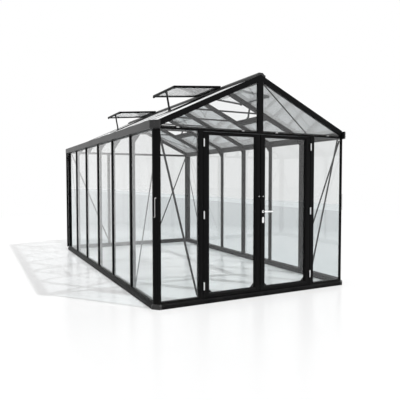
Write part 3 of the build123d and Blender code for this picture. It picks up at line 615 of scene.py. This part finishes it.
def makeCylinders(values):
    shape = bmesh.new()
    slotShade = bmesh.new()
    x, z, proud, tail = values["x"], values["z"], values["proud"], values["tail"]
    outline = []
    for i in range(values["roundSteps"] + 1):
        angle = -pi / 2 + values["meet"] + (2 * pi - 2 * values["meet"]) * i / values["roundSteps"]
        outline.append((values["round"] * cos(angle), values["round"] * sin(angle)))
    for i in range(values["tailSteps"] + 1):
        angle = pi + pi * i / values["tailSteps"]
        outline.append((tail * cos(angle), -values["drop"] + tail + tail * sin(angle)))
    levels = ((-values["sunk"], 1.0), (proud - values["edge"], 1.0), (proud, values["edgeShrink"]))
    for doorFace, way in zip(house["doorFaces"], (-1, 1)):
        face = doorFace + way * values["plate"]
        joinRings(shape, [
            addRing(shape, [(x + a * size, face + way * depth, z + b * size) for a, b in outline])
            for depth, size in levels])
        y0, y1 = sorted((face + way * proud, face + way * (proud + values["slotDepth"])))
        addBlock(slotShade, (x - values["slotHalf"], y0, z - values["slotLow"]),
                 (x + values["slotHalf"], y1, z + values["slotHigh"]))
    newPiece("keyCylinders", shape, "right_door", leverChrome)
    # the key's slot is a thin black block on the cylinder's face: painted shade where the slot's hollow would
    # be
    newPiece("keySlotShade", slotShade, "right_door", rubberSeal, values["slotBevel"])


makeCylinders(keyCylinder)
print("lever handles and key cylinders built")

# domed caps on the hinge barrels, and the bearing rings between the halves
hingeCap = {
    "line": 0.7085, "proud": -2.297, "heights": (0.186, 0.936, 1.690), "half": 0.038, "ringRise": 0.0012,
    # outlines: shares of the barrel's radius, each with its height
    "radius": 0.0068,
    "dome": ((1.0, 0.0), (1.0, 0.0012), (0.93, 0.0022), (0.7, 0.0036), (0.36, 0.0044), (0.08, 0.0046)),
    "ring": ((1.02, -0.0004), (1.06, 0.0), (1.06, 0.0004), (1.02, 0.0008)),
}


def makeHingeCaps(values):
    y = values["proud"]
    dome, ring = ([(values["radius"] * share, height) for share, height in values[name]]
                  for name in ("dome", "ring"))
    low = bmesh.new()
    for x in (-values["line"], values["line"]):
        for z in values["heights"]:
            turnedShape(low, (x, y, z - values["half"]), (0, 0, -1), dome)
    newPiece("hingeFootCaps", low, "house", hingeMetal)
    for side, x in (("left", -values["line"]), ("right", values["line"])):
        high = bmesh.new()
        for z in values["heights"]:
            turnedShape(high, (x, y, z + values["half"]), (0, 0, 1), dome)
            turnedShape(high, (x, y, z + values["ringRise"]), (0, 0, 1), ring)
        newPiece(f"{side}HingeCaps", high, f"{side}_door", hingeMetal)


makeHingeCaps(hingeCap)

# screws in the meeting strips, over the lever
stripScrew = {"height": 1.119, "left": -0.017, "right": 0.038, "size": 0.62}


def makeStripScrews(values):
    for side in ("left", "right"):
        shape = bmesh.new()
        addBolt(shape, (values[side], house["doorFaces"][0], values["height"]), (0, -1, 0), values["size"])
        newPiece(f"{side}StripScrew", shape, f"{side}_door", screwZinc)


makeStripScrews(stripScrew)
print("hinge caps and door screws built")

# bolts that hold braces, gussets and collar ties; pairs are (front, back) where an end differs
braceBolts = {
    "plate": 0.004, "inside": 0.080, "endInset": 0.016,
    "wallHead": (2.247, 1.787), "wallFoot": (1.5, 0.081),
    "gableHead": (1.190, 1.818), "gableFoot": (0.757, 0.470), "gableFootHeight": 0.081,
    "roofHead": (0.040, 2.259), "roofFoot": 1.189, "roofFootY": (-1.745, 1.5),
    "roofInset": 0.03, "underRoof": 0.064, "wideBar": 0.020, "narrowBar": 0.012,
    "gusset": ((1.2265, 1.712), (1.2265, 1.775), (1.115, 1.893)), "gussetSize": 0.85,
    "tie": (0.607, 2.166), "tieSize": 0.75,
}


def alongLine(start, end, inset):
    # the two points that lie an inset in from the ends of a line
    start, end = Vector(start), Vector(end)
    step = (end - start).normalized() * inset
    return start + step, end - step


def makeBraceBolts(values):
    shape = bmesh.new()
    plate, inset = values["plate"], values["endInset"]
    wallY, wallTop = values["wallHead"]
    footY, footTop = values["wallFoot"]
    gableX, gableTop = values["gableHead"]
    ridgeX, ridgeY = values["roofHead"]
    for sx in (-1, 1):
        for end, sy in enumerate((-1, 1)):
            # side wall braces, seen from inside the house
            x = sx * (house["halfWidth"] - values["inside"] - plate)
            for place in alongLine((x, sy * wallY, wallTop), (x, sy * footY, footTop), inset):
                addBolt(shape, place, (-sx, 0, 0))
            # gable wall braces
            y = sy * (house["halfLength"] - values["inside"] - plate)
            foot = (sx * values["gableFoot"][end], y, values["gableFootHeight"])
            for place in alongLine((sx * gableX, y, gableTop), foot, inset):
                addBolt(shape, place, (0, -sy, 0))
            # roof braces, under the rafters
            down = Vector((sx * house["pitchSin"], 0, house["pitchCos"])) * -1
            foot = (sx * values["roofFoot"], values["roofFootY"][end], 0)
            for place in alongLine((sx * ridgeX, sy * ridgeY, 0), foot, values["roofInset"]):
                z = roofHeight(house["halfWidth"] - abs(place.x), values["underRoof"])
                addBolt(shape, (place.x, place.y, z), down)
    for i, y in enumerate(house["bars"]):
        half = values["narrowBar"] if i % 2 else values["wideBar"]
        face = y - half - plate
        for sx in (-1, 1):
            for x, z in values["gusset"]:
                addBolt(shape, (sx * x, face, z), (0, -1, 0), values["gussetSize"])
            addBolt(shape, (sx * values["tie"][0], face, values["tie"][1]), (0, -1, 0), values["tieSize"])
    newPiece("braceBolts", shape, "house", blackBrace)


makeBraceBolts(braceBolts)
print("brace bolts built")

# rubber glazing strips along the panes of the walls and of the leaves
glazingStrip = {
    "width": 0.0034, "proud": 0.0022, "glass": 0.030, "capHalf": 0.020, "postReach": 0.084,
    "leafNear": 0.069, "leafFar": 0.6405, "bottomRail": 0.047, "topRail": 0.029,
    "leafFaces": (-2.265, -2.261),
}


def makeGlazingStrips(values):
    shape = bmesh.new()
    width, proud = values["width"], values["proud"]
    low, high, tie = house["sillTop"], house["beamBottom"], house["tieBottom"]
    for sx in (-1, 1):
        x = sx * (house["halfWidth"] - values["glass"])
        lines = [y + way * (values["capHalf"] + width / 2) for y in house["bars"] for way in (-1, 1)]
        lines += [way * (house["halfLength"] - values["postReach"] - width / 2) for way in (-1, 1)]
        for y in lines:
            addStrip(shape, (x, y, low), (x, y, high), (sx, 0, 0), width, proud)
        corner = sx * (house["halfWidth"] - values["postReach"] - width / 2)
        door = sx * (house["doorPost"] + width / 2)
        y = -house["halfLength"] + values["glass"]
        for x in (corner, door):
            addStrip(shape, (x, y, low), (x, y, tie), (0, -1, 0), width, proud)
        addStrip(shape, (corner, -y, low), (corner, -y, tie), (0, 1, 0), width, proud)
    newPiece("glazingStrips", shape, "house", rubberSeal)


def makeLeafStrips(values):
    width, proud = values["width"], values["proud"]
    inset = width / 2
    low, high = house["leafFoot"] + values["bottomRail"], house["leafHead"] - values["topRail"]
    for side, way in (("left", -1), ("right", 1)):
        shape = bmesh.new()
        near, far = way * values["leafNear"], way * values["leafFar"]
        for y, outward in zip(values["leafFaces"], (-1, 1)):
            for x in (near + way * inset, far - way * inset):
                addStrip(shape, (x, y, low), (x, y, high), (0, outward, 0), width, proud)
            for z in (low + inset, high - inset):
                addStrip(shape, (near, y, z), (far, y, z), (0, outward, 0), width, proud)
        newPiece(f"{side}LeafStrips", shape, f"{side}_door", rubberSeal)


makeGlazingStrips(glazingStrip)
makeLeafStrips(glazingStrip)

# bulb seals on the door posts' stops, and brushes under the leaves
doorSeal = {
    "line": 0.7045, "stop": -2.245, "width": 0.007, "proud": 0.0048, "low": 0.063, "high": 1.803, "steps": 10,
}
footBrush = {
    "start": 0.012, "end": 0.692, "pitch": 0.0032, "bristle": 0.0011, "drop": 0.0052, "depth": 0.004,
    "y": -2.268, "uneven": 0.0006, "leanTurn": 2.3, "dropTurn": 5.1, "sunk": 0.0005,
}


def makeDoorSeals(values):
    shape = bmesh.new()
    y, width, proud = values["stop"], values["width"], values["proud"]
    for x in (-values["line"], values["line"]):
        low, high = (x, y, values["low"]), (x, y, values["high"])
        addStrip(shape, low, high, (0, -1, 0), width, proud, values["steps"])
    newPiece("doorSeals", shape, "house", rubberSeal)


def makeFootBrushes(values):
    # uneven tips, and bristles that lean a little to and fro
    foot, half, deep = house["leafFoot"], values["bristle"] / 2, values["depth"] / 2
    count = int((values["end"] - values["start"]) / values["pitch"])
    for side, way in (("left", -1), ("right", 1)):
        shape = bmesh.new()
        for i in range(count):
            x = way * (values["start"] + values["pitch"] * i)
            y = values["y"] + values["uneven"] * sin(i * values["leanTurn"])
            drop = values["drop"] - values["uneven"] * (1 + sin(i * values["dropTurn"])) / 2
            addBlock(shape, (x - half, y - deep, foot - drop), (x + half, y + deep, foot + values["sunk"]))
        newPiece(f"{side}FootBrush", shape, f"{side}_door", rubberSeal)


makeDoorSeals(doorSeal)
makeFootBrushes(footBrush)
print("glazing strips, seals and brushes built")

# low crowned caps over the roof bars
roofCap = {
    "low": 0.018, "high": 1.212, "half": 0.020, "seat": 0.006, "edge": 0.0012, "crown": 0.0026,
    # shares of the half width and of the crown at the shoulder, and of the half width at the drawn line
    "groove": 0.0008, "shoulder": (0.86, 0.8), "drawnLine": (0.5, 0.42, 0.34),
}


def makeRoofCaps(values):
    shape = bmesh.new()
    half, crown = values["half"], values["crown"]
    # across the cap and up from the glass, with two drawn lines beside the crown
    wide, high = values["shoulder"]
    outer, deepest, inner = values["drawnLine"]
    section = [(-half, 0), (-half, values["edge"]), (-half * wide, crown * high), (-half * outer, crown),
               (-half * deepest, crown - values["groove"]), (-half * inner, crown)]
    section += [(-a, b) for a, b in reversed(section)]
    lean, up = house["pitchSin"], 1 / house["pitchStretch"]
    for sx in (-1, 1):
        for y in house["bars"]:
            rings = []
            for inset in (values["low"], values["high"]):
                x, z = sx * (house["halfWidth"] - inset), roofHeight(inset, values["seat"])
                rings.append(addRing(shape, [(x + sx * b * lean, y + a, z + b * up) for a, b in section]))
            joinRings(shape, rings)
    piece = newPiece("roofCaps", shape, "house", blackFrame)
    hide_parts("roof_bar_caps")


makeRoofCaps(roofCap)

# rain pipes at the back corners, from the gutters down to just over the ground
rainPipe = {
    "x": 1.2745, "y": 2.232, "radius": 0.0165, "wall": 0.0018, "foot": 0.058, "mouth": 0.06, "top": 1.815,
    "joint": 1.742, "collar": 0.0172, "collarLength": 0.028, "collarEdge": 0.002, "sides": 28,
    "brackets": (0.42, 1.05, 1.68), "bracketHalf": 0.010, "band": 0.0008, "bandEdge": 0.001, "bevel": 0.001,
    "wallFace": 1.2558, "plateDepth": 0.004, "plateHalf": 0.023, "screwAside": 0.0195, "screwSize": 0.34,
}


def makeRainPipes(values):
    pipes = bmesh.new()
    brackets = bmesh.new()
    screws = bmesh.new()
    radius, joint, collar = values["radius"], values["joint"], values["collar"]
    foot, inner, edge = values["foot"], values["radius"] - values["wall"], values["collarEdge"]
    half, band, rim = values["bracketHalf"], values["radius"] + values["band"], values["bandEdge"]
    pipe = [
        (inner, foot + values["mouth"]), (inner, foot), (radius, foot),
        (radius, joint - values["collarLength"] - edge), (collar, joint - values["collarLength"]),
        (collar, joint), (radius, joint + edge), (radius, values["top"]),
    ]
    clamp = [(radius, 0.0), (band, rim), (band, 2 * half - rim), (radius, 2 * half)]
    for sx in (-1, 1):
        x, y, plate = sx * values["x"], values["y"], sx * (values["x"] - values["plateDepth"])
        turnedShape(pipes, (x, y, 0), (0, 0, 1), pipe, values["sides"])
        for z in values["brackets"]:
            turnedShape(brackets, (x, y, z - half), (0, 0, 1), clamp, values["sides"])
            x0, x1 = sorted((sx * values["wallFace"], plate))
            aside = values["plateHalf"]
            addBlock(brackets, (x0, y - aside, z - half), (x1, y + aside, z + half))
            for way in (-1, 1):
                addBolt(screws, (plate, y + way * values["screwAside"], z), (sx, 0, 0), values["screwSize"])
    newPiece("rainPipes", pipes, "house", blackFrame)
    newPiece("pipeBrackets", brackets, "house", blackFrame, values["bevel"])
    newPiece("pipeScrews", screws, "house", screwZinc)


makeRainPipes(rainPipe)
print("roof caps and rain pipes built")

# vents: corner plugs under the free corners, and brackets with pins at both ends of the stays
ventTrim = {
    "plugSize": (0.020, 0.022, 0.010), "plugSunk": 0.001, "plugBevel": 0.002, "free": 0.692, "under": 2.4056,
    "spans": ((-1.478, -0.772), (0.772, 1.478)), "middles": (-1.125, 1.125), "stayOffset": 0.087,
    "stayFoot": 0.636, "footRise": 0.014, "footCheek": (0.015, 0.020),
    "stayHead": 0.680, "headDrop": 0.009, "headCheek": (0.011, 0.011),
    "cheekFrom": 0.0095, "cheekTo": 0.0120, "cheekTop": 0.6, "cheekBevel": 0.0012,
    "pinStart": 0.0145, "pinSides": 14,
    "pin": ((0.0036, 0), (0.0042, 0.0006), (0.0042, 0.0022), (0.0024, 0.0026),
            (0.0024, 0.0264), (0.0042, 0.0268), (0.0042, 0.0284), (0.0036, 0.029)),
}


def makeVentTrim(values):
    plugs = bmesh.new()
    brackets = bmesh.new()
    pins = bmesh.new()
    wide, long, tall = values["plugSize"]
    for sx in (-1, 1):
        for low, high in values["spans"]:
            for y in (low + long / 2, high - long / 2):
                x0, x1 = sorted((sx * (values["free"] - wide), sx * values["free"]))
                top = values["under"] + values["plugSunk"]
                addBlock(plugs, (x0, y - long / 2, top - tall), (x1, y + long / 2, top))
        footZ = roofHeight(house["halfWidth"] - values["stayFoot"]) + values["footRise"]
        ends = (
            (sx * values["stayFoot"], footZ, values["footCheek"]),
            (sx * values["stayHead"], values["under"] - values["headDrop"], values["headCheek"]),
        )
        for middle in values["middles"]:
            y = middle + sx * values["stayOffset"]
            # cheeks each side of the bar, with a pin through them
            for x, z, (half, deep) in ends:
                for way in (-1, 1):
                    y0, y1 = sorted((y + way * values["cheekFrom"], y + way * values["cheekTo"]))
                    top = z + deep * values["cheekTop"]
                    addBlock(brackets, (x - half, y0, z - deep), (x + half, y1, top))
                start = (x, y - values["pinStart"], z)
                turnedShape(pins, start, (0, 1, 0), values["pin"], values["pinSides"])
    newPiece("ventCornerPlugs", plugs, "house", blackFrame, values["plugBevel"])
    newPiece("stayBrackets", brackets, "house", blackBrace, values["cheekBevel"])
    newPiece("stayPins", pins, "house", screwZinc)


makeVentTrim(ventTrim)

# screws in the gutter ends, and the clips that carry the gable panes on the tie beams
gutterScrew = {"inset": 0.0175, "heights": (1.838, 1.868), "size": 0.6}
paneClip = {
    "places": (-1.0, -0.225, 0.225, 0.98), "half": 0.015, "low": 1.831, "high": 1.8375,
    "depth": (0.019, 0.0295), "bevel": 0.0015,
}


def makeEndTrim(screw, clip):
    shape = bmesh.new()
    clips = bmesh.new()
    length, half = house["halfLength"], clip["half"]
    for sx in (-1, 1):
        for sy in (-1, 1):
            x, y = sx * (house["halfWidth"] - screw["inset"]), sy * (length - screw["inset"])
            for z in screw["heights"]:
                addBolt(shape, (x, y, z), (sx, sy, 0), screw["size"])
    for sy in (-1, 1):
        y0, y1 = sorted(sy * (length - depth) for depth in clip["depth"])
        for x in clip["places"]:
            addBlock(clips, (x - half, y0, clip["low"]), (x + half, y1, clip["high"]))
    newPiece("gutterScrews", shape, "house", greyTrim)
    newPiece("gablePaneClips", clips, "house", hingeMetal, clip["bevel"])


makeEndTrim(gutterScrew, paneClip)
print("vent trim, gutter screws and pane clips built")

# hooks that hold the leaves back: a bent rod on a screw, on the chamfer of each front post
holdHook = {
    "edge": 0.018, "chamfer": 0.050, "along": 0.017, "top": 1.122, "length": 0.192, "bend": 0.004,
    "head": 0.008, "tip": 0.011, "rod": 0.0025, "clear": 0.0052,
    "sides": 12, "bendSteps": 5, "screwSides": 16,
    "screw": ((0.0046, 0.0), (0.0046, 0.001), (0.0033, 0.0014), (0.0033, 0.0082), (0.0050, 0.0084),
              (0.0050, 0.0100), (0.0036, 0.0112), (0.0010, 0.0116)),
}


def hookPath(values):
    # along the chamfer and down, from the screw to the tip
    bend, foot = values["bend"], -values["length"]
    turns = [pi / 2 * i / values["bendSteps"] for i in range(values["bendSteps"] + 1)]
    path = [(values["head"], 0.0)]
    path += [(bend - bend * sin(a), -bend + bend * cos(a)) for a in turns]
    path += [(-bend + bend * cos(a), foot + bend - bend * sin(a)) for a in turns]
    return path + [(-values["tip"], foot)]


def makeHoldHooks(values):
    shape = bmesh.new()
    upward = Vector((0, 0, 1))
    path = hookPath(values)
    turns = [2 * pi * k / values["sides"] for k in range(values["sides"])]
    for sx in (-1, 1):
        x = sx * (house["halfWidth"] - values["edge"] - values["along"])
        y = -house["halfLength"] + values["edge"] + values["chamfer"] - values["along"]
        out = Vector((sx, -1, 0)).normalized()
        along = Vector((-sx, -1, 0)).normalized()
        seat = Vector((x, y, values["top"]))
        spots = [seat + along * a + upward * b + out * values["clear"] for a, b in path]
        rings = []
        for i, spot in enumerate(spots):
            run = (spots[min(i + 1, len(spots) - 1)] - spots[max(i - 1, 0)]).normalized()
            side = run.cross(out)
            ring = [spot + (side * cos(a) + out * sin(a)) * values["rod"] for a in turns]
            rings.append(addRing(shape, ring))
        joinRings(shape, rings)
        place = seat + along * values["head"]
        turnedShape(shape, place, out, values["screw"], values["screwSides"])
    piece = newPiece("holdHooks", shape, "house", screwZinc)
    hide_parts("door_hooks")


makeHoldHooks(holdHook)
print("hold-back hooks built")

# studio: a pale floor, a white world and one soft sun
studio = {
    "floorFrom": (-60.0, -60.0), "floorTo": (15.4, 70.0),
    "floorColor": (0.97, 0.97, 0.97), "floorRoughness": 0.2, "floorGloss": 0.24,
    # painted shade: colours of the floor seen through the panes, darker and greener than the floor seen
    # straight: inside the walls, and three outside them
    "insideFloor": (0.84, 0.865, 0.865), "wallEdge": (0.97, 1.03),
    "nearFloor": (0.69, 0.755, 0.775), "midFloor": (0.46, 0.515, 0.535), "midFrom": (4.4, 6.4),
    "farFloor": (0.70, 0.765, 0.78), "farFrom": 11.2,
    "whiteNear": 0.28, "fade": (3.0, 12.0),
    "skyOnObject": 0.64, "backdrop": 1.0,
    "sunStrength": 1.9, "sunTravel": (-0.495, 0.61, -1.0), "sunSizeDegrees": 1.2,
}
white = (1.0, 1.0, 1.0, 1.0)


# painted shade: rays that come through the panes find the floor darker and greener than it is seen straight,
# most of all outside the walls
def floorShade(tree, values, place, away, seenThrough):
    along = addNode(tree, "ShaderNodeSeparateXYZ", {0: place})
    across = mathNode(tree, "DIVIDE", mathNode(tree, "ABSOLUTE", along.outputs[0]), house["halfWidth"])
    behind = mathNode(tree, "DIVIDE", mathNode(tree, "ABSOLUTE", along.outputs[1]), house["halfLength"])
    outside = mapRange(tree, mathNode(tree, "MAXIMUM", across, behind), *values["wallEdge"])
    middle = mapRange(tree, away, *values["midFrom"])
    distant = mathNode(tree, "GREATER_THAN", along.outputs[0], values["farFrom"])
    shaded = mixColor(tree, middle, values["nearFloor"], values["midFloor"])
    shaded = mixColor(tree, distant, shaded, values["farFloor"])
    glazed = mixColor(tree, outside, values["insideFloor"], shaded)
    return mixColor(tree, seenThrough, values["floorColor"], glazed)


def buildFloor(values):
    x0, y0 = values["floorFrom"]
    x1, y1 = values["floorTo"]
    mesh = bpy.data.meshes.new("studioFloor")
    mesh.from_pydata([(x0, y0, 0), (x1, y0, 0), (x1, y1, 0), (x0, y1, 0)], [], [(0, 1, 2, 3)])
    floor = bpy.data.objects.new("studioFloor", mesh)
    bpy.context.scene.collection.objects.link(floor)
    material, tree, output = newMaterial("studioFloor")
    rays = addNode(tree, "ShaderNodeLightPath")
    place = objectPlace(tree)
    away = addNode(tree, "ShaderNodeVectorMath", {0: place}, operation="LENGTH").outputs["Value"]
    shade = floorShade(tree, values, place, away, rays.outputs["Is Transmission Ray"])
    surface = addNode(
        tree, "ShaderNodeBsdfPrincipled",
        {"Base Color": shade, "Roughness": values["floorRoughness"],
         "Specular IOR Level": values["floorGloss"]},
    ).outputs[0]
    # the floor turns to the white of the backdrop as it runs away from the house
    fade = mapRange(tree, away, *values["fade"], values["whiteNear"], 1.0)
    fade = mathNode(tree, "MULTIPLY", fade, rays.outputs["Is Camera Ray"])
    glow = addNode(tree, "ShaderNodeEmission", {"Color": white, "Strength": values["backdrop"]}).outputs[0]
    tree.links.new(mixShader(tree, fade, surface, glow), output.inputs[0])
    mesh.materials.append(material)


def buildLight(values):
    # the world is at full white where it is seen, and softer where it lights the object
    scene = bpy.context.scene
    world = bpy.data.worlds.new("studioWorld")
    world.use_nodes = True
    scene.world = world
    tree = world.node_tree
    tree.nodes.clear()
    rays = addNode(tree, "ShaderNodeLightPath")
    seen = mathNode(tree, "MAXIMUM", rays.outputs["Is Camera Ray"], rays.outputs["Is Glossy Ray"])
    seen = mathNode(tree, "MAXIMUM", seen, rays.outputs["Is Transmission Ray"])
    strength = mapRange(tree, seen, 0.0, 1.0, values["skyOnObject"], values["backdrop"])
    sky = addNode(tree, "ShaderNodeBackground", {"Color": white, "Strength": strength})
    output = addNode(tree, "ShaderNodeOutputWorld")
    tree.links.new(sky.outputs[0], output.inputs[0])

    lamp = bpy.data.lights.new("keySun", "SUN")
    lamp.energy = values["sunStrength"]
    lamp.angle = radians(values["sunSizeDegrees"])
    sun = bpy.data.objects.new("keySun", lamp)
    scene.collection.objects.link(sun)
    sun.rotation_mode = "QUATERNION"
    sun.rotation_quaternion = Vector(values["sunTravel"]).to_track_quat("-Z", "Y")


buildFloor(studio)
buildLight(studio)
print("studio built")
